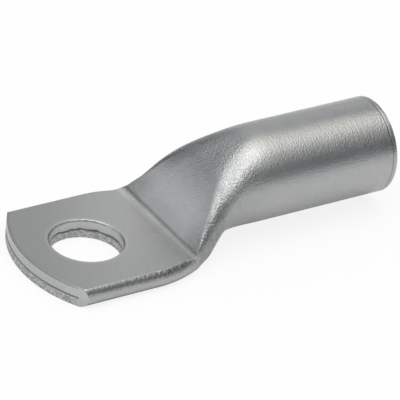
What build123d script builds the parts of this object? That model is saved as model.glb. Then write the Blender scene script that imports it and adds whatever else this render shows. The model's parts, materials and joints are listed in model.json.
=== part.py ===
from build123d import *
from math import asin, cos, degrees, radians, sin, sqrt, tan
import os

# Cable lug: one piece of seamless copper tube, tinned all over. One end stays round and takes the conductor.
# The other end is pressed flat into a palm, punched with a bolt hole and cropped to an arc at the tip.
#
# Frame, in millimetres: the origin is on the bolt hole's axis, at the palm's underside. +X runs along the tube
# to its open mouth, +Z is the side that the palm was pressed from, and +Y completes the right-handed frame.

# The tube
tube_diameter = 14.2
wall = 1.75
mouth_x = 47.8
tube_lift = 0.67
outer_chamfer = 0.15
inner_chamfer = 0.5

# The palm: its sides run straight past the bolt hole and then draw in, and its folds get narrower at the bend
palm_thickness = 2.92
palm_width = 22.8
palm_straight_x = 5.9
tip_reach = 10.05
tip_radius = 18.9
fold_top_width = 0.74
fold_bottom_width = 1.35
fold_narrowing_x = 9.85
bend_fold_top = 0.1
bend_fold_bottom = 1.25

# How much of a quarter turn each top corner has where the die pressed it: less than 90 leaves a crisp edge
pressed_corner = 66.0
corner_easing_x = 13.4
corner_eased_x = 16.2

# The bolt hole, for an M10 bolt
hole_diameter = 10.5
hole_round = 0.3

# The seam where the tube's two walls meet, seen in the tip's cut face
seam_height = 1.3
seam_opening = 0.3
seam_depth = 0.4
seam_fold_margin = 1.3

# The bend line, and the ramp that the die pressed from the palm up to the tube's crown
bend_x = 12.1
bend_radius = 1.3
ramp_angle = 56.3
crown_radius = 15.5
underside_lift_x = 12.8
underside_level_x = 16.0

# The neck, where the section goes from flat to round: its waist, and how soon each side gets round
waist_x = 23.0
waist_width = 13.76
bottom_flat_x = 15.4
bottom_round_x = 19.8
crown_strip = 0.12
pinch_gap = 0.2

# The height of the section's widest place, which climbs from the palm's folds to the tube's axis
shoulder_height = 1.4
shoulder_climb_x = 11.0
shoulder_top_x = 20.8

# Room beyond the tip that the crop takes away, and the round stretch that is made in one with the neck
tip_spare = 2.0
round_run = 2.0

# How many intervals lie between the sections of each stretch
palm_intervals = 4
bend_intervals = 4
ramp_intervals = 3
crown_intervals = 6
tube_intervals = 2

# What follows from the driving sizes
tube_radius = tube_diameter / 2
bore_radius = tube_radius - wall
tube_axis_z = tube_lift + tube_radius
tube_top = tube_lift + tube_diameter
slope = tan(radians(ramp_angle))
bend_run = bend_radius * tan(radians(ramp_angle / 2))
bend_start_x = bend_x - bend_run
bend_end_x = bend_x + bend_run * cos(radians(ramp_angle))
crown_corner_x = bend_x + (tube_top - palm_thickness) / slope
tube_start_x = crown_corner_x + crown_radius * tan(radians(ramp_angle / 2))
barrel_x = tube_start_x + round_run
tip_centre_x = tip_radius - tip_reach


def share(x, start, end):
    """How far x has come from start to end, from 0 to 1."""
    return min(max((x - start) / (end - start), 0), 1)


def ease(x, start, end):
    """A smooth step from 0 at start to 1 at end."""
    u = share(x, start, end)
    return u * u * (3 - 2 * u)


def top_height(x, inset=0):
    """Height of the pressed top at x, or of the surface that lies inset below it."""
    radius = crown_radius - inset
    if x >= tube_start_x:
        return tube_top - inset
    if x >= tube_start_x - radius * sin(radians(ramp_angle)):
        return tube_top - crown_radius + sqrt(radius**2 - (tube_start_x - x) ** 2)
    if x >= bend_end_x:
        return palm_thickness + (x - bend_x) * slope - inset / cos(radians(ramp_angle))
    if x > bend_start_x:
        return palm_thickness + bend_radius - sqrt(bend_radius**2 - (x - bend_start_x) ** 2)
    return palm_thickness


def bottom_height(x):
    """Height of the underside, which steps up a little from the palm to the tube."""
    return tube_lift * ease(x, underside_lift_x, underside_level_x)


def half_width(x):
    """Half the width seen from above: the palm, drawn in to the waist, and the tube."""
    width = palm_width
    width -= (palm_width - waist_width) * ease(x, palm_straight_x, waist_x)
    width += (tube_diameter - waist_width) * ease(x, waist_x, tube_start_x)
    return width / 2


def top_flat(x):
    """Half the width of the flat that the die left on top. It runs out where the tube gets round."""
    fold = fold_top_width - (fold_top_width - bend_fold_top) * ease(x, fold_narrowing_x, bend_x)
    u = share(x, bend_x, tube_start_x)
    return crown_strip + (half_width(x) - fold - crown_strip) * (1 - u) ** 2 * (1 + u)


def bottom_flat(x):
    """Half the width of the flat underside."""
    fold = fold_bottom_width - (fold_bottom_width - bend_fold_bottom) * ease(x, palm_straight_x, bend_x)
    return crown_strip + (half_width(x) - fold - crown_strip) * (1 - ease(x, bottom_flat_x, bottom_round_x))


def shoulder_share(x):
    """How much of the section's height lies above its widest place."""
    climb = (tube_axis_z - shoulder_height) * ease(x, shoulder_climb_x, shoulder_top_x)
    return (top_height(x) - shoulder_height - climb) / (top_height(x) - bottom_height(x))


def corner_turn(x):
    """The angle that each top corner turns through on its own ellipse."""
    return pressed_corner + (90 - pressed_corner) * ease(x, corner_easing_x, corner_eased_x)


def pressed_face(x, inset=0):
    """The pressed tube's section at x, or the one that lies inset within it: flats on top and underneath, a
    quarter of an ellipse at each lower corner, and up to a quarter of one at each upper corner."""
    half = half_width(x) - inset
    narrower = half / half_width(x)
    top = top_height(x, inset)
    bottom = bottom_height(x) + inset
    top_half = top_flat(x) * narrower
    bottom_half = bottom_flat(x) * narrower
    rise = shoulder_share(x) * (top - bottom)
    drop = top - bottom - rise
    shoulder = top - rise
    turn = corner_turn(x)
    reach = (half - top_half) / (1 - cos(radians(turn)))
    climb = rise / sin(radians(turn))
    edges = [
        Line((top_half, top), (-top_half, top)),
        EllipticalCenterArc((reach - half, shoulder), reach, climb, 180 - turn, arc_size=turn),
        EllipticalCenterArc((-bottom_half, shoulder), half - bottom_half, drop, 180, arc_size=90),
        Line((-bottom_half, bottom), (bottom_half, bottom)),
        EllipticalCenterArc((bottom_half, shoulder), half - bottom_half, drop, 270, arc_size=90),
        EllipticalCenterArc((half - reach, shoulder), reach, climb, 0, arc_size=turn),
    ]
    return Plane.YZ.offset(x) * Face(Wire(edges))


def round_face(x, inset=0):
    """The tube's round section at x, split where the pressed sections have their corners."""
    radius = tube_radius - inset
    strip = degrees(asin(crown_strip / tube_radius))
    centre = (0, tube_axis_z)
    edges = [
        CenterArc(centre, radius, 90 - strip, 2 * strip),
        CenterArc(centre, radius, 90 + strip, 90 - strip),
        CenterArc(centre, radius, 180, 90 - strip),
        CenterArc(centre, radius, 270 - strip, 2 * strip),
        CenterArc(centre, radius, 270 + strip, 90 - strip),
        CenterArc(centre, radius, 0, 90 - strip),
    ]
    return Plane.YZ.offset(x) * Face(Wire(edges))


def disc(x, radius):
    """A round face square to the tube, on its axis."""
    return Plane.YZ.offset(x) * Pos(0, tube_axis_z) * Circle(radius)


def steps(start, end, count):
    """Places from start to end, count intervals, with both ends."""
    return [start + (end - start) * i / count for i in range(count + 1)]


def make_palm():
    """The flat palm as far as the bend: a straight stretch cropped to the tip's arc, then the narrowing one."""
    blank_x = -tip_reach - tip_spare
    straight = extrude(pressed_face(blank_x), amount=palm_straight_x - blank_x)
    crop = extrude(Pos(tip_centre_x, 0) * Circle(tip_radius), amount=palm_thickness)
    narrowing = loft([pressed_face(x) for x in steps(palm_straight_x, bend_start_x, palm_intervals)])
    return (straight & crop) + narrowing


def make_bend():
    """The short hollow curve at the foot of the ramp."""
    angles = steps(0, ramp_angle, bend_intervals)
    return loft([pressed_face(bend_start_x + bend_radius * sin(radians(a))) for a in angles])


def make_neck(first_x, inset=0):
    """The ramp and the rounded crown above it, where the flat tube opens out to the round one, and the first
    of the round tube. With an inset, the hollow inside it."""
    radius = crown_radius - inset
    crown = [tube_start_x - radius * sin(radians(a)) for a in steps(ramp_angle, 0, crown_intervals)]
    ramp = steps(first_x, crown[0], ramp_intervals)
    pressed = [pressed_face(x, inset) for x in ramp + crown[1:-1]]
    tube = [round_face(x, inset) for x in steps(tube_start_x, barrel_x, tube_intervals)]
    return loft(pressed + tube)


def make_barrel():
    """The round tube, from the neck to its mouth, with the mouth's outer edge broken."""
    barrel = extrude(disc(barrel_x, tube_radius), mouth_x - barrel_x)
    rim = barrel.faces().sort_by(Axis.X)[-1].edges()
    return chamfer(rim, outer_chamfer)


def make_hollow():
    """The bore for the conductor, its countersunk mouth, and the wedge where the tube's walls close."""
    bore = extrude(disc(barrel_x, bore_radius), mouth_x - barrel_x)
    countersink = extrude(disc(mouth_x - inner_chamfer, bore_radius), inner_chamfer, taper=-45)
    closing_height = wall / cos(radians(ramp_angle)) + wall + tube_lift + pinch_gap
    pinch_x = bend_x + (closing_height - palm_thickness) / slope
    return bore + countersink + make_neck(pinch_x, wall)


def make_seam():
    """The notch that the two walls leave between them across the tip's cut face, short of the folds."""
    half_opening = seam_opening / 2
    notch = Plane.XZ * Polyline(
        (tip_radius, seam_height - half_opening),
        (tip_radius - seam_depth, seam_height),
        (tip_radius, seam_height + half_opening),
        close=True,
    )
    half_angle = degrees(asin((palm_width / 2 - seam_fold_margin) / tip_radius))
    ring = revolve(make_face(notch), Axis.Z, 2 * half_angle)
    return Pos(tip_centre_x, 0) * Rot(0, 0, 180 - half_angle) * ring


def make_lug():
    """The whole lug: the outer form, hollowed from the mouth and punched through the palm."""
    outer = make_palm() + make_bend() + make_neck(bend_end_x) + make_barrel()
    punch = extrude(Circle(hole_diameter / 2), amount=palm_thickness)
    lug = outer - make_hollow() - punch - make_seam()
    arcs = lug.edges().filter_by(GeomType.CIRCLE).filter_by_position(Axis.Z, palm_thickness, palm_thickness)
    return fillet(arcs.sort_by(SortBy.RADIUS)[0], hole_round)


os.makedirs("parts", exist_ok=True)
lug = make_lug()
export_step(lug, "parts/cable_lug.step")
print("cable_lug", round(lug.volume, 1), "mm3,", len(lug.faces()), "faces")
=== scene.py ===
# %% [markdown]
# A cable lug is a piece of copper tube. One end stays round and is crimped on a cable, and the other end is
# pressed flat and punched, so that a bolt can hold it on a terminal. It is tinned all over to keep the
# copper from going dull and green. The packed model gives the exact shape, in metres, and this script
# dresses it: the camera, the light, the floor and the tin's finish. The finish has to fit the shape, so the
# sizes that it follows come from the packed model too. The box of the bare model is kept, and the finish
# reads the tip's and the mouth's places from it.

import json
from math import cos, radians, sin

import bmesh
import bpy
from mathutils import Matrix, Vector


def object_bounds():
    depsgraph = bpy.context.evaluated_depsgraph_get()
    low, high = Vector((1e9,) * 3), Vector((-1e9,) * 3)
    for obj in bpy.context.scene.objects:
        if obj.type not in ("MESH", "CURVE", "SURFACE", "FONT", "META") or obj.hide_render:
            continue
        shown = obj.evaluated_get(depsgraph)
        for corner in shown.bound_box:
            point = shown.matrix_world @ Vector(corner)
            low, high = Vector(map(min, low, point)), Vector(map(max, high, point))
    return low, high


MM = 0.001

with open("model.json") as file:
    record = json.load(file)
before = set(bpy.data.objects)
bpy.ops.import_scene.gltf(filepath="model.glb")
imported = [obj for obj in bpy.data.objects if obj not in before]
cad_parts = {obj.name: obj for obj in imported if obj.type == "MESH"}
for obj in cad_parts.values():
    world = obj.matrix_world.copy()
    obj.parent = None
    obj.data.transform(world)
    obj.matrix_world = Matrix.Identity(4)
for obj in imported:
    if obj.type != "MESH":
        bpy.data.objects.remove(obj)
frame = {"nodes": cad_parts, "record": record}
cad_low, cad_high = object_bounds()
lug = frame["nodes"]["cable_lug"]
mounts = {mount["name"]: mount for mount in frame["record"]["mounts"]}
print("the bare model is", [round((high - low) / MM, 2) for low, high in zip(cad_low, cad_high)], "mm")

# %% [markdown]
# The lug was photographed from in front of its left edge, about a third of the way up, from far off with a
# long lens, so that its straight lines hardly run together. The camera leans a little to one side. It could
# be aimed with a constraint, but that can't lean it. A camera looks down its own -Z axis with +Y up in the
# picture, so its three axes are worked out from the viewing angles and become the columns of its rotation
# matrix.

# %% The camera
VIEW_AZIMUTH = -36.129
VIEW_ELEVATION = 31.877
VIEW_ROLL = 7.293
CAMERA_PLACE = Vector((-225.539, -334.480, 262.598)) * MM
SENSOR_WIDTH = 36.0
LENS = 307.97


def direction(azimuth, elevation):
    """The unit vector towards a place seen at azimuth, counted from +X to +Y, and elevation, in degrees."""
    a = radians(azimuth)
    e = radians(elevation)
    return Vector((cos(a) * cos(e), sin(a) * cos(e), sin(e)))


backwards = direction(VIEW_AZIMUTH - 90, VIEW_ELEVATION)
level_right = direction(VIEW_AZIMUTH, 0)
level_up = backwards.cross(level_right)
roll = radians(VIEW_ROLL)
right = level_right * cos(roll) + level_up * sin(roll)
up = level_up * cos(roll) - level_right * sin(roll)

camera_data = bpy.data.cameras.new("camera")
camera_data.sensor_width = SENSOR_WIDTH
camera_data.lens = LENS
camera = bpy.data.objects.new("camera", camera_data)
camera.matrix_world = Matrix.Translation(CAMERA_PLACE) @ Matrix((right, up, backwards)).transposed().to_4x4()
bpy.context.scene.collection.objects.link(camera)
bpy.context.scene.camera = camera
print("the camera stands", round(CAMERA_PLACE.length, 3), "m from the bolt hole")

# %% [markdown]
# Bare metal has hardly any colour of its own: it shows what is round it. A lamp would give a hard spot, so
# the studio is painted on the world instead. Each softbox is a soft-edged patch round one direction. The
# dot product of that direction with the ray's own tells how near the ray comes to it, and a smooth step
# turns that into light. Where softboxes overlap, their light adds up. The high ones on the side of the
# tube's mouth are a little warm and the walls between them a little cool, as in the photograph.

# %% The softboxes
STUDIO_WALL = 0.18
WALL_TINT = Vector((0.93, 1.0, 1.06))
WARM = Vector((1.015, 1.0, 0.9))
PLAIN = Vector((1.0, 1.0, 1.0))

# Each softbox: azimuth and elevation of its middle, the angles where it is full and where it ends, its
# light and its tint
SOFTBOXES = {
    "overhead": (0, 90, 8, 36, 0.92, PLAIN),
    "front_top": (-60, 75, 4, 24, 0.84, WARM),
    "left_front_top": (-130, 72, 6, 28, 0.7, PLAIN),
    "right_top": (20, 70, 6, 30, 0.9, WARM),
    "back_top": (110, 70, 6, 34, 0.27, PLAIN),
    "front_high": (-100, 57, 4, 22, 0.94, PLAIN),
    "right_front_high": (-60, 57, 4, 22, 0.61, WARM),
    "left_front_middle": (-108, 42, 4, 22, 0.25, PLAIN),
    "front_middle": (-72, 42, 4, 22, 0.31, PLAIN),
    "right_high": (-15, 55, 4, 24, 0.11, WARM),
    "right_middle": (5, 40, 6, 26, 0.3, WARM),
    "back_middle": (72, 45, 6, 30, 0.22, PLAIN),
    "left_back_middle": (140, 52, 6, 30, 0.14, PLAIN),
    "left_high": (180, 58, 6, 28, 0.52, PLAIN),
    "left_middle": (180, 36, 6, 28, 0.61, PLAIN),
    "left_low": (-175, 14, 5, 28, 0.52, PLAIN),
    "left_back_low": (140, 14, 5, 28, 0.86, PLAIN),
    "right_back_low": (55, 20, 6, 28, 0.52, PLAIN),
    "left_front_low": (-110, 2, 2, 22, 0.09, PLAIN),
    "front_low": (-60, 2, 3, 16, 0.34, PLAIN),
}
print("softboxes:", ", ".join(SOFTBOXES))

# %% [markdown]
# The world is a sphere of light round the lug. Its nodes start with the direction of the ray, add one
# softbox after the other to the wall's light, and end in the background.

# %% The studio


def paint_studio(world):
    """Adds the walls and the softboxes up on the world's background."""
    nodes = world.node_tree.nodes
    links = world.node_tree.links
    nodes.clear()
    ray = nodes.new("ShaderNodeTexCoord").outputs["Generated"]
    total = None
    for azimuth, elevation, full, end, light, tint in SOFTBOXES.values():
        nearness = nodes.new("ShaderNodeVectorMath")
        nearness.operation = "DOT_PRODUCT"
        nearness.inputs[1].default_value = direction(azimuth, elevation)
        links.new(ray, nearness.inputs[0])
        glow = nodes.new("ShaderNodeMapRange")
        glow.interpolation_type = "SMOOTHSTEP"
        glow.inputs["From Min"].default_value = cos(radians(end))
        glow.inputs["From Max"].default_value = cos(radians(full))
        links.new(nearness.outputs["Value"], glow.inputs["Value"])
        added = nodes.new("ShaderNodeVectorMath")
        added.operation = "MULTIPLY_ADD"
        links.new(glow.outputs["Result"], added.inputs[0])
        added.inputs[1].default_value = tint * light
        added.inputs[2].default_value = WALL_TINT * STUDIO_WALL
        if total:
            links.new(total, added.inputs[2])
        total = added.outputs["Vector"]
    background = nodes.new("ShaderNodeBackground")
    links.new(total, background.inputs["Color"])
    links.new(background.outputs["Background"], nodes.new("ShaderNodeOutputWorld").inputs["Surface"])


studio = bpy.data.worlds.new("studio")
studio.use_nodes = True
bpy.context.scene.world = studio
paint_studio(studio)
bpy.context.scene.view_settings.view_transform = "Standard"
print("the studio has", len(SOFTBOXES), "softboxes and walls of", STUDIO_WALL)

# %% [markdown]
# The floor is one big pale sheet, far larger than the lug, so that its edge is never in view. It is plain
# diffuse paint, which alone would come out as an uneven grey. So for rays that come straight from the
# camera most of it is a glow of strength 1: the background is white, and the lug's soft shadow stays. Rays
# that a glossy or a clear surface sends on get less of that glow, so the metal shows a floor that is darker
# where the lug stands on it. The sheet lies a hair below the lug, so that the two never share a face.

# %% The floor's paint
FLOOR_COLOUR = (0.93, 0.93, 0.93, 1)
GLOW_SHARES = {"Is Camera Ray": 0.85, "Is Glossy Ray": 0.28, "Is Transmission Ray": 0.28}


def floor_paint():
    """Pale paint that glows for the camera, and less for reflections."""
    paint = bpy.data.materials.new("floor_paint")
    paint.use_nodes = True
    nodes = paint.node_tree.nodes
    links = paint.node_tree.links
    nodes.clear()
    diffuse = nodes.new("ShaderNodeBsdfDiffuse")
    diffuse.inputs["Color"].default_value = FLOOR_COLOUR
    glow = nodes.new("ShaderNodeEmission")
    path = nodes.new("ShaderNodeLightPath")
    total = None
    for kind, share in GLOW_SHARES.items():
        part = nodes.new("ShaderNodeMath")
        part.operation = "MULTIPLY_ADD"
        links.new(path.outputs[kind], part.inputs[0])
        part.inputs[1].default_value = share
        part.inputs[2].default_value = 0
        if total:
            links.new(total, part.inputs[2])
        total = part.outputs["Value"]
    mix = nodes.new("ShaderNodeMixShader")
    links.new(total, mix.inputs["Fac"])
    links.new(diffuse.outputs["BSDF"], mix.inputs[1])
    links.new(glow.outputs["Emission"], mix.inputs[2])
    links.new(mix.outputs["Shader"], nodes.new("ShaderNodeOutputMaterial").inputs["Surface"])
    return paint


print("the floor glows", GLOW_SHARES["Is Camera Ray"], "for the camera")

# %% The floor
FLOOR_REACH = 6.0
FLOOR_GAP = 0.02 * MM

sheet = bmesh.new()
bmesh.ops.create_grid(sheet, x_segments=1, y_segments=1, size=FLOOR_REACH)
bmesh.ops.translate(sheet, verts=sheet.verts, vec=(0, 0, -FLOOR_GAP))
floor_mesh = bpy.data.meshes.new("floor")
sheet.to_mesh(floor_mesh)
sheet.free()
floor = bpy.data.objects.new("floor", floor_mesh)
bpy.context.scene.collection.objects.link(floor)
floor.data.materials.append(floor_paint())
print("the floor reaches", FLOOR_REACH, "m each way")

# %% [markdown]
# Electroplated tin is a satin grey that isn't even. The bath leaves soft clouds a few millimetres wide and
# the crystals a fine grain. Press, punch and cutter then leave marks, each in a place of its own. Such a
# finish could be painted on an unfolded map of the lug. Worked out by nodes from the point's own
# coordinates it has real sizes, no edge where a map is cut, and it stays on the lug from every side.
#
# First come short ways to add the nodes that calculate. The most used one is a smooth step: it turns a
# coordinate into a mask, 1 where a place is and 0 elsewhere, with a soft edge between.

# %% Nodes that calculate


class Tree:
    """A material's node tree, with short ways to add nodes that calculate."""

    def __init__(self, material):
        self.nodes = material.node_tree.nodes
        self.links = material.node_tree.links

    def put(self, value, socket):
        """Links a socket to the input, or sets a number, a vector or a colour on it."""
        if isinstance(value, bpy.types.NodeSocket):
            self.links.new(value, socket)
        else:
            socket.default_value = value

    def calc(self, operation, first, second=0.0):
        """Arithmetic on two values."""
        node = self.nodes.new("ShaderNodeMath")
        node.operation = operation
        self.put(first, node.inputs[0])
        self.put(second, node.inputs[1])
        return node.outputs["Value"]

    def chain(self, operation, first, *others):
        """The same arithmetic on several values in turn."""
        for other in others:
            first = self.calc(operation, first, other)
        return first

    def plus(self, *values):
        """The sum of several values."""
        return self.chain("ADD", *values)

    def minus(self, first, second):
        """The first value less the second."""
        return self.calc("SUBTRACT", first, second)

    def times(self, *values):
        """The product of several values."""
        return self.chain("MULTIPLY", *values)

    def most(self, *values):
        """The largest of several values."""
        return self.chain("MAXIMUM", *values)

    def away(self, value):
        """How far a value is from 0, to either side."""
        return self.calc("ABSOLUTE", value)

    def reach(self, first, second):
        """How far it is to a point that lies so far off along two axes."""
        return self.calc("SQRT", self.plus(self.times(first, first), self.times(second, second)))

    def split(self, vector):
        """A vector's three parts."""
        node = self.nodes.new("ShaderNodeSeparateXYZ")
        self.put(vector, node.inputs["Vector"])
        return node.outputs

    def step(self, value, start, full, low=0.0, high=1.0):
        """A smooth step: low where the value is at start, high where it is at full."""
        node = self.nodes.new("ShaderNodeMapRange")
        node.interpolation_type = "SMOOTHSTEP"
        node.inputs["From Min"].default_value = start
        node.inputs["From Max"].default_value = full
        self.put(low, node.inputs["To Min"])
        self.put(high, node.inputs["To Max"])
        self.put(value, node.inputs["Value"])
        return node.outputs["Result"]


print("nodes that calculate:", ", ".join(name for name in vars(Tree) if name[0] != "_"))

# %% [markdown]
# Three more kinds of node make the look: a noise, a mix of two colours, and a bump, which tilts the shading
# as a relief would without changing the mesh. The blobs of a noise can be stretched along an axis, and that
# turns them into streaks or strokes.

# %% Nodes for the look
NOISE_CONTRAST = (0.25, 0.75)


class TinTree(Tree):
    """The tin's node tree, with nodes for noises, colours and reliefs too."""

    def noise(self, place, size, detail, turn):
        """A noise from 0 to 1 whose blobs are about size wide along each axis, turned about Y first."""
        fit = self.nodes.new("ShaderNodeMapping")
        fit.vector_type = "TEXTURE"
        fit.inputs["Rotation"].default_value = (0, radians(turn), 0)
        fit.inputs["Scale"].default_value = size
        self.put(place, fit.inputs["Vector"])
        texture = self.nodes.new("ShaderNodeTexNoise")
        texture.inputs["Scale"].default_value = 1
        texture.inputs["Detail"].default_value = detail
        self.put(fit.outputs["Vector"], texture.inputs["Vector"])
        return self.step(texture.outputs["Fac"], *NOISE_CONTRAST)

    def mix(self, share, first, second):
        """A colour between two others."""
        node = self.nodes.new("ShaderNodeMix")
        node.data_type = "RGBA"
        self.put(share, node.inputs["Factor"])
        self.put(first, node.inputs["A"])
        self.put(second, node.inputs["B"])
        return node.outputs["Result"]

    def bump(self, share, height, below):
        """A bumped normal, from a share of a height in millimetres, on top of the one below."""
        node = self.nodes.new("ShaderNodeBump")
        node.inputs["Distance"].default_value = height * MM
        self.put(share, node.inputs["Height"])
        self.put(below, node.inputs["Normal"])
        return node.outputs["Normal"]


print("nodes for the look:", ", ".join(name for name in vars(TinTree) if name[0] != "_"))

# %% [markdown]
# Every mark is placed by where a point lies on the lug and by the way its face is turned. A point on the
# tip's cut face looks towards -X and one on the palm's folded side towards -Y or +Y, so the facing tells
# cut and folded faces apart even where they meet. The distances are counted from the bolt hole's edge, the
# palm's top and the tube's mouth, as the packed model has them.

# %% Where a point lies
HOLE_RADIUS = mounts["bolt_hole"]["dims"]["r_mm"]
PALM_TOP = mounts["palm_top"]["pos_m"][2] / MM
MOUTH = cad_high[0] / MM


class Surface:
    """Where a point lies, in millimetres, and how far its face looks along X or to a side, from 0 to 1."""

    def __init__(self, tree):
        coordinates = tree.nodes.new("ShaderNodeTexCoord")
        fit = tree.nodes.new("ShaderNodeMapping")
        fit.inputs["Scale"].default_value = (1 / MM, 1 / MM, 1 / MM)
        tree.put(coordinates.outputs["Object"], fit.inputs["Vector"])
        self.point = fit.outputs["Vector"]
        self.x, self.y, self.z = tree.split(self.point)
        facing = tree.split(coordinates.outputs["Normal"])
        self.facing_x = facing[0]
        self.facing_side = tree.away(facing[1])
        self.sideways = tree.away(self.y)
        self.depth = tree.minus(PALM_TOP, self.z)
        self.from_hole = tree.minus(tree.reach(self.x, self.y), HOLE_RADIUS)
        self.to_mouth = tree.minus(MOUTH, self.x)


print("hole", 2 * HOLE_RADIUS, "mm across, palm", round(PALM_TOP, 2), "mm thick, mouth at", round(MOUTH, 2))

# %% [markdown]
# The finish has seven patterns, and each is a noise: soft clouds from the bath, a finer mottle, the
# crystals' grain, streaks round the tube, the press's upright strokes, the slanting tears of the cut
# faces, and the waver of the seam between the palm's two walls.

# %% The patterns
# Each pattern: its blobs' widths along X, Y and Z in millimetres, its fine detail, and its turn in degrees
PATTERNS = {
    "clouds": ((4.5, 4.5, 4.5), 3, 0),
    "mottle": ((1.1, 1.1, 1.1), 3, 0),
    "grain": ((0.25, 0.25, 0.25), 2, 0),
    "streaks": ((0.16, 1.5, 1.5), 2, 0),
    "strokes": ((0.2, 0.3, 1.2), 3, 0),
    "tears": ((0.45, 0.45, 0.3), 3, 35),
    "waver": ((1.8, 1.8, 1.8), 3, 0),
}


def find_patterns(tree, at):
    """The patterns as values from 0 to 1, by name."""
    return {name: tree.noise(at.point, *facts) for name, facts in PATTERNS.items()}


print("patterns:", ", ".join(PATTERNS))

# %% [markdown]
# The palm is two walls of tube pressed on each other, and the cut faces of the tip and of the bolt hole
# show both. A punch or a cutter shears the upper part smoothly and tears the rest off, so the upper wall is
# smooth, the lower one is rough, and a dark seam with a wavering line lies between them. The corners where
# the tip meets the folded sides get a painted highlight, like the top of the hole's edge, and a painted
# shade draws a thin dark line under the tip's upper edge. The tip's seam is cut into the solid. The rest is
# too fine for that, so it is part of the finish.

# %% The cut faces
TIP_RADIUS = 18.9
TIP_CENTRE = TIP_RADIUS + cad_low[0] / MM

# Each pair says where a soft edge starts and where its place is full
TIP_HALF = (0.5, 0)
TIP_FACING = (-0.4, -0.6)
TIP_EDGE = (0.5, 0)
HOLE_WALL = (0.06, 0.03)
HOLE_RIM = (0.9, 0.3)
HOLE_RIM_HEIGHT = (1.5, 2.5)
TORN_BELOW_SEAM = (0, -0.2)
TORN_SIDEWAYS = (10.2, 9)
SMOOTH_ABOVE_SEAM = (0.1, 0.4)
CORNER_SIDEWAYS = (7, 9.5)
SEAM_OPENING = (0.26, 0.05)
TIP_LINE_DEPTH = (0.24, 0.08)
TIP_LINE_SIDEWAYS = (10.5, 9)

SEAM_HEIGHT = 1.35
SEAM_WAVER = (-0.14, 0.14)


def cut_marks(tree, at, waver):
    """The masks of the tip's and the hole's cut faces and edges, with their painted highlight and shade."""
    tip_half = tree.step(at.x, *TIP_HALF)
    tip_face = tree.times(tip_half, tree.step(at.facing_x, *TIP_FACING))
    hole_wall = tree.step(at.from_hole, *HOLE_WALL)
    cut = tree.most(hole_wall, tip_face)
    seam_place = tree.plus(tree.step(waver, 0, 1, *SEAM_WAVER), SEAM_HEIGHT)
    above_seam = tree.minus(at.z, seam_place)
    from_arc = tree.minus(TIP_RADIUS, tree.reach(tree.minus(at.x, TIP_CENTRE), at.y))
    torn = tree.times(tree.step(above_seam, *TORN_BELOW_SEAM), tree.step(at.sideways, *TORN_SIDEWAYS))
    # a painted shade: a thin dark line under the tip's upper edge
    tip_painted_shade = tree.times(tree.step(at.depth, *TIP_LINE_DEPTH), tree.step(at.sideways, *TIP_LINE_SIDEWAYS))
    return {
        "uncut": tree.minus(1, cut),
        "torn": tree.times(cut, torn),
        "smooth": tree.times(cut, tree.step(above_seam, *SMOOTH_ABOVE_SEAM)),
        # the tip's corners, with a painted highlight and more roughness
        "corner": tree.times(cut, tree.step(at.sideways, *CORNER_SIDEWAYS)),
        "seam": tree.times(hole_wall, tree.step(tree.away(above_seam), *SEAM_OPENING)),
        "tip_painted_shade": tree.times(tip_face, tip_painted_shade),
        "tip_edge": tree.times(tip_half, tree.step(from_arc, *TIP_EDGE)),
        # the top of the hole's edge, with a painted highlight
        "hole_rim": tree.times(tree.step(at.from_hole, *HOLE_RIM), tree.step(at.z, *HOLE_RIM_HEIGHT)),
    }


print("the tip's arc has its middle", round(TIP_CENTRE, 2), "mm from the hole's axis")

# %% [markdown]
# The die presses the palm's top flat. Painted light makes the top lighter towards the bend, and painted
# shade makes it a little darker along its near side. The die drags coarse strokes down the folded sides,
# which get stronger towards the bend and run out there. Along the bend runs a painted highlight, stronger
# on its far side.

# %% The palm
PALM_DEPTH = (0.1, 0.02)
PALM_END = (12, 11)
PALM_GROWTH = (-10, 8)
PALM_SLANT = 0.5
PALM_NEAR_SIDE = (-9, 3)
PALM_NEAR_SHARE = 0.7
PRESS_FACING = (0.3, 0.5)
PRESS_END = (14, 10.5)
PRESS_GROWTH = (-7, 9)
PRESS_FAINTEST = 0.3
FOLD_DEPTH = (1.3, 0.5)
# Along the bend a painted highlight, which grows from the near side to the far side
BEND_LINE = 11.5
BEND_LINE_WIDTH = (0.9, 0.3)
BEND_LINE_HEIGHT = (2.7, 2.8)
BEND_HIGHLIGHT_GROWTH = (-8, 2)
BEND_HIGHLIGHT_SHARES = (0.1, 0.5)


def palm_marks(tree, at, uncut):
    """Masks of the palm's top and its painted light, of the folded sides and of the painted highlight at the
    bend.
    """
    slanted = tree.minus(at.x, tree.times(at.y, PALM_SLANT))
    near_side = tree.step(at.y, *PALM_NEAR_SIDE, PALM_NEAR_SHARE)
    press_side = tree.times(tree.step(at.facing_side, *PRESS_FACING), tree.step(at.x, *PRESS_END))
    press_growth = tree.step(at.x, *PRESS_GROWTH, PRESS_FAINTEST)
    from_bend_line = tree.away(tree.minus(at.x, BEND_LINE))
    # a painted highlight along the bend
    bend_painted_highlight = tree.times(tree.step(from_bend_line, *BEND_LINE_WIDTH), tree.step(at.z, *BEND_LINE_HEIGHT))
    return {
        "palm": tree.times(tree.step(at.depth, *PALM_DEPTH), tree.step(at.x, *PALM_END), uncut),
        # painted light on the palm's top towards the bend, painted shade along its near side
        "palm_painted_light": tree.times(tree.step(slanted, *PALM_GROWTH), near_side),
        "pressed": tree.times(uncut, press_side, press_growth),
        "fold": tree.step(at.depth, *FOLD_DEPTH),
        "bend_painted_highlight": tree.times(bend_painted_highlight, tree.step(at.y, *BEND_HIGHLIGHT_GROWTH, *BEND_HIGHLIGHT_SHARES)),
    }


print("the press strokes end", PRESS_END[0], "mm from the hole's axis, the bend line lies at", BEND_LINE)

# %% [markdown]
# Round the bend the die leaves strokes on the tube's sides, and painted shade darkens them there: at the
# foot of the ramp, most of all near its sides, and on the flank beside it. A painted shade also darkens the
# palm low down, close to the floor.

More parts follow.
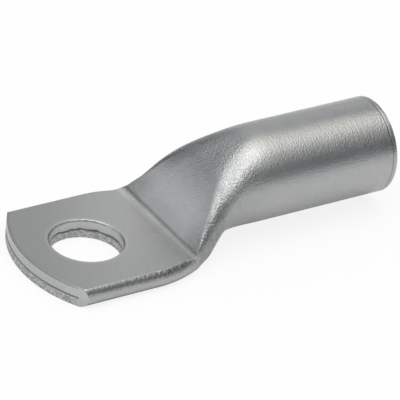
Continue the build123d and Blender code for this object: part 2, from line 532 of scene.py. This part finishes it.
# %% The scuffed places
# Strokes with painted shade at the ramp's foot and on the flank
FOOT_FACING = (-0.5, -0.7)
FOOT_START = (11, 11.8)
FOOT_END = (17, 12.5)
FOOT_SIDEWAYS = (3, 9)
FOOT_MIDDLE_END = (14, 12.8)
FOOT_MIDDLE_SHARE = 0.25
FLANK_FACING = (0.6, 0.9)
FLANK_START = (11.5, 13.5)
FLANK_END = (20, 16)
# Painted shade low along the palm, close to the floor
SOLE_HEIGHT = (1.2, 0.3)
SOLE_END = (15, 12)


def scuff_marks(tree, at, uncut):
    """The masks of the painted shade round the bend, broken up by strokes, and low along the palm."""
    foot_sides = tree.times(tree.step(at.x, *FOOT_END), tree.step(at.sideways, *FOOT_SIDEWAYS))
    foot_middle = tree.step(at.x, *FOOT_MIDDLE_END, 0, FOOT_MIDDLE_SHARE)
    foot = tree.times(tree.step(at.facing_x, *FOOT_FACING), tree.step(at.x, *FOOT_START))
    flank = tree.times(tree.step(at.x, *FLANK_START), tree.step(at.x, *FLANK_END))
    return {
        # strokes with painted shade at the ramp's foot
        "foot": tree.times(foot, tree.most(foot_sides, foot_middle)),
        # strokes with painted shade on the flank
        "flank": tree.times(tree.step(at.facing_side, *FLANK_FACING), flank),
        # painted shade low along the palm, close to the floor
        "sole": tree.times(uncut, tree.step(at.z, *SOLE_HEIGHT), tree.step(at.x, *SOLE_END)),
    }


print("the scuffs run from", FOOT_START[0], "to", FLANK_END[0], "mm")

# %% [markdown]
# Beside the ramp a ridge climbs from each corner of the palm and comes together with the other one on the
# tube's crown. On the real lug it is a little softer than on the solid. Its mask is full on the ridge line,
# which draws in from the sides towards the middle, and fades out below and above it. The metal was
# stretched most at the crown, so the grain is coarser there.

# %% The neck
RIDGE_RUN = (24, 15)
RIDGE_SIDEWAYS = (3.4, 6.9)
RIDGE_BELOW = 2.7
RIDGE_ABOVE = 3.5
RIDGE_ABOVE_SHARE = 0.6
RIDGE_START = (14.5, 17.5)
RIDGE_END = (25.5, 19)
RIDGE_HEIGHT = (6, 8)
CROWN_FACING = (-0.75, -0.55)
CROWN_END = (27, 20)
CROWN_HEIGHT = (3.2, 5)


def neck_marks(tree, at):
    """The masks of the ridge beside the ramp and of the crown above it."""
    from_ridge = tree.minus(at.sideways, tree.step(at.x, *RIDGE_RUN, *RIDGE_SIDEWAYS))
    below = tree.step(from_ridge, 0, RIDGE_BELOW)
    above = tree.step(from_ridge, 0, -RIDGE_ABOVE, 0, RIDGE_ABOVE_SHARE)
    ridge = tree.minus(1, tree.plus(below, above))
    stretch = tree.times(tree.step(at.x, *RIDGE_START), tree.step(at.x, *RIDGE_END))
    crown = tree.times(tree.step(at.x, *CROWN_END), tree.step(at.z, *CROWN_HEIGHT))
    return {
        "ridge": tree.times(ridge, stretch, tree.step(at.z, *RIDGE_HEIGHT)),
        "crown": tree.times(tree.step(at.facing_x, *CROWN_FACING), crown),
    }


print("the ridge's shading is softened from", RIDGE_START[0], "to", RIDGE_END[0], "mm")

# %% [markdown]
# The tube was drawn to its size and cut off. It has short streaks round it, a better polish towards the
# mouth, a slightly drawn-in rim and a fine ring line where the rim starts, a shallow groove darkened with
# painted shade.

# %% The tube
TUBE_START = (18, 26)
POLISH_GROWTH = (28, 46)
RIM_LENGTH = 0.8
RIM_LINE_WIDTH = (0.2, 0.04)


def tube_marks(tree, at):
    """The masks of the round tube, of its polish and of its rim with the ring line."""
    from_rim_line = tree.away(tree.minus(at.to_mouth, RIM_LENGTH))
    return {
        "tube": tree.step(at.x, *TUBE_START),
        "polish": tree.step(at.x, *POLISH_GROWTH),
        "rim": tree.step(at.to_mouth, RIM_LENGTH, 0),
        # the ring line, a shallow groove with painted shade in it
        "rim_line": tree.step(from_rim_line, *RIM_LINE_WIDTH),
    }


print("the ring line lies", RIM_LENGTH, "mm from the mouth")

# %% [markdown]
# The patterns and the masks together are the marks that the look is made from. They are worked out once
# and kept by name, because colour, roughness and relief share them.

# %% All the marks


def find_marks(tree):
    """Every pattern and mask by its name."""
    at = Surface(tree)
    marks = find_patterns(tree, at)
    marks.update(cut_marks(tree, at, marks["waver"]))
    marks.update(palm_marks(tree, at, marks["uncut"]))
    marks.update(scuff_marks(tree, at, marks["uncut"]))
    marks.update(neck_marks(tree, at))
    marks.update(tube_marks(tree, at))
    return marks


tin = bpy.data.materials.new("tinned_copper")
tin.use_nodes = True
tin_tree = TinTree(tin)
tin_marks = find_marks(tin_tree)
print("marks:", ", ".join(tin_marks))

# %% [markdown]
# Scuffed tin is dull and dark, because its fine furrows catch the light. Painted shade darkens the tin in
# the same way round the bend, low along the palm and in the ring line. The strokes and the grain break the
# scuffs and the shade round the bend up. Where these places overlap, the stronger one counts.

# %% The scuffs
# A contrast gives the pattern's values where the scuffs start and where they are full. The other values
# say how dark the scuffs and the painted shade are, and a pair of them goes from between the strokes to on
# them.
PRESS_CONTRAST = (0.9, 0.3)
# How dark the strokes with painted shade at the ramp's foot and on the flank are
FOOT_STROKES_AND_SHADE = (0.5, 0.9)
FLANK_STROKES_AND_SHADE = (0.8, 0.35)
# How dark the painted shade low along the palm is
SOLE_PAINTED_SHADE = 0.95
# How dark the painted shade in the ring line's groove is
RIM_LINE_PAINTED_SHADE = 0.65
CROWN_CONTRAST = (0.45, 0.85)
CROWN_SCUFFS = 0.28


def find_scuffs_and_shade(tree, marks):
    """How scuffed or shaded each point is, painted shade included: as much as the strongest of its marks."""
    strokes = marks["strokes"]
    return tree.most(
        tree.times(marks["pressed"], marks["fold"], tree.step(strokes, *PRESS_CONTRAST)),
        # strokes with painted shade at the ramp's foot and on the flank
        tree.times(marks["foot"], tree.step(strokes, 0, 1, *FOOT_STROKES_AND_SHADE)),
        tree.times(marks["flank"], tree.step(strokes, 0, 1, *FLANK_STROKES_AND_SHADE)),
        # painted shade low along the palm
        tree.times(marks["sole"], SOLE_PAINTED_SHADE),
        # painted shade in the ring line's groove
        tree.times(marks["rim_line"], RIM_LINE_PAINTED_SHADE),
        tree.times(marks["crown"], tree.step(marks["grain"], *CROWN_CONTRAST, 0, CROWN_SCUFFS)),
    )


# The strongest of these is the painted shade low along the palm
print("the strongest scuffs are", max(SOLE_PAINTED_SHADE, *FOOT_STROKES_AND_SHADE), "dark")

# %% [markdown]
# Tin reflects about as much of every colour, so its own colour is a grey. It varies a little with the
# patterns. Painted light and shade lie on it too: light and shade on the palm's top, highlights along the
# bend, on the tip's corners and at the hole's edge, and shade round the bend, low along the palm, in the
# ring line and under the tip's edge. Where it is scuffed, less light comes back. Each layer covers the ones
# before it, as far as its mask says.

# %% The tin's colour
CLOUD_SHARE = 0.4
STREAK_SHARE = 0.25
MOTTLE_SHARE = 0.35
CLOUDY_TIN = ((0.4, 0.408, 0.42, 1), (0.465, 0.465, 0.46, 1))
# The palm's top, from its painted shade to its painted light
PALM_SHADE_TO_LIGHT_TIN = ((0.37, 0.372, 0.374, 1), (0.56, 0.56, 0.55, 1))
PALM_SHARE = 0.7
# A painted highlight for the bend, the tip's corners and the top of the hole's edge
PAINTED_HIGHLIGHT_TIN = (0.78, 0.78, 0.77, 1)
EDGE_HIGHLIGHT_SHARE = 0.2
SMOOTH_TIN = (0.46, 0.47, 0.485, 1)
# Dark scuffed tin, which also serves as painted shade
SCUFFED_AND_SHADED_TIN = (0.21, 0.215, 0.22, 1)
TORN_TIN = ((0.36, 0.365, 0.37, 1), (0.56, 0.56, 0.56, 1))
TORN_CONTRAST = (0.3, 0.8)
# The seam's dark joint, and the painted shade under the tip's edge
SEAM_AND_PAINTED_SHADE = (0.12, 0.12, 0.125, 1)
# How dark the painted shade under the tip's edge is
TIP_SHADE_SHARE = 0.7


def tin_colour(tree, marks):
    """The cloudy tin with painted light, highlights and shade, its scuffed places, the torn metal and the
    seam.
    """
    patches = tree.plus(
        tree.times(marks["clouds"], CLOUD_SHARE),
        tree.times(marks["streaks"], STREAK_SHARE),
        tree.times(marks["mottle"], MOTTLE_SHARE),
    )
    # painted highlight on the tip's corners and the top of the hole's edge
    edge_painted_highlight = tree.most(marks["corner"], marks["hole_rim"])
    # the seam, and the painted shade under the tip's edge
    seam_and_painted_shade = tree.most(marks["seam"], tree.times(marks["tip_painted_shade"], TIP_SHADE_SHARE))
    layers = [
        # The palm's top with its painted light and shade
        (tree.times(marks["palm"], PALM_SHARE), tree.mix(marks["palm_painted_light"], *PALM_SHADE_TO_LIGHT_TIN)),
        # A painted highlight along the bend
        (marks["bend_painted_highlight"], PAINTED_HIGHLIGHT_TIN),
        (marks["smooth"], SMOOTH_TIN),
        # The painted highlight on the tip's corners and the hole's edge
        (tree.times(edge_painted_highlight, EDGE_HIGHLIGHT_SHARE), PAINTED_HIGHLIGHT_TIN),
        # Scuffs, and painted shade round the bend, low along the palm and in the ring line
        (find_scuffs_and_shade(tree, marks), SCUFFED_AND_SHADED_TIN),
        (marks["torn"], tree.mix(tree.step(marks["tears"], *TORN_CONTRAST), *TORN_TIN)),
        # The seam and the painted shade under the tip's edge
        (seam_and_painted_shade, SEAM_AND_PAINTED_SHADE),
    ]
    colour = tree.mix(patches, *CLOUDY_TIN)
    for share, coat in layers:
        colour = tree.mix(share, colour, coat)
    return colour


print("the tin's greys lie between", SEAM_AND_PAINTED_SHADE[0], "and", PAINTED_HIGHLIGHT_TIN[0])

# %% [markdown]
# Satin metal blurs what it shows. The clouds blur it more or less, torn places and the tip's corners are
# rougher, and the tube gets smoother towards its mouth.

# %% The tin's roughness
TIN_ROUGHNESS = (0.3, 0.36)
TORN_ROUGHNESS = 0.12
CORNER_ROUGHNESS = 0.1
POLISH_ROUGHNESS = -0.05


def tin_roughness(tree, marks):
    """How much the tin blurs what it shows."""
    return tree.plus(
        tree.step(marks["clouds"], 0, 1, *TIN_ROUGHNESS),
        tree.times(marks["torn"], TORN_ROUGHNESS),
        tree.times(marks["corner"], CORNER_ROUGHNESS),
        tree.times(marks["polish"], POLISH_ROUGHNESS),
    )


print("the tin's roughness is", TIN_ROUGHNESS[0], "to", TIN_ROUGHNESS[1])

# %% [markdown]
# Grain, streaks, strokes and tears are reliefs of a few hundredths of a millimetre, far too fine for a mesh,
# so they are bumps on top of each other. The lowest layer rounds the shading of the crisp edges, because
# no real edge is quite sharp. The ridge's relief is deeper but wide and shallow, and softens its shading.

# %% The tin's relief
EDGE_ROUND = 0.14
EDGE_SAMPLES = 8

# Each relief: the marks whose product shapes it, and its height in millimetres, less than 0 for a hollow
RELIEFS = [
    (("grain",), 0.016),
    (("grain", "crown"), 0.026),
    (("streaks", "tube"), 0.01),
    (("ridge",), -0.4),
    (("strokes", "pressed"), 0.045),
    (("tears", "torn"), 0.05),
    (("tip_edge",), -0.06),
    (("rim",), -0.02),
    (("rim_line",), -0.02),
]


def tin_relief(tree, marks):
    """The shading's normal: rounded edges with all the reliefs on top."""
    edge = tree.nodes.new("ShaderNodeBevel")
    edge.samples = EDGE_SAMPLES
    edge.inputs["Radius"].default_value = EDGE_ROUND * MM
    normal = edge.outputs["Normal"]
    for names, height in RELIEFS:
        share = tree.times(*[marks[name] for name in names])
        normal = tree.bump(share, height, normal)
    return normal


print("reliefs:", ", ".join(" on ".join(names) for names, _ in RELIEFS))

# %% [markdown]
# The lug is one solid with one finish, so all of it gets one metal. Colour, roughness and relief are linked
# to it, and it takes the place of the plain material on the packed model's own mesh.

# %% Tin the lug
metal = tin_tree.nodes["Principled BSDF"]
metal.inputs["Metallic"].default_value = 1
tin_tree.put(tin_colour(tin_tree, tin_marks), metal.inputs["Base Color"])
tin_tree.put(tin_roughness(tin_tree, tin_marks), metal.inputs["Roughness"])
tin_tree.put(tin_relief(tin_tree, tin_marks), metal.inputs["Normal"])
lug.data.materials.clear()
lug.data.materials.append(tin)
print("the lug wears", lug.data.materials[0].name)

# %% [markdown]
# The finish changes only the lug's material, so the lug keeps the bare model's size.
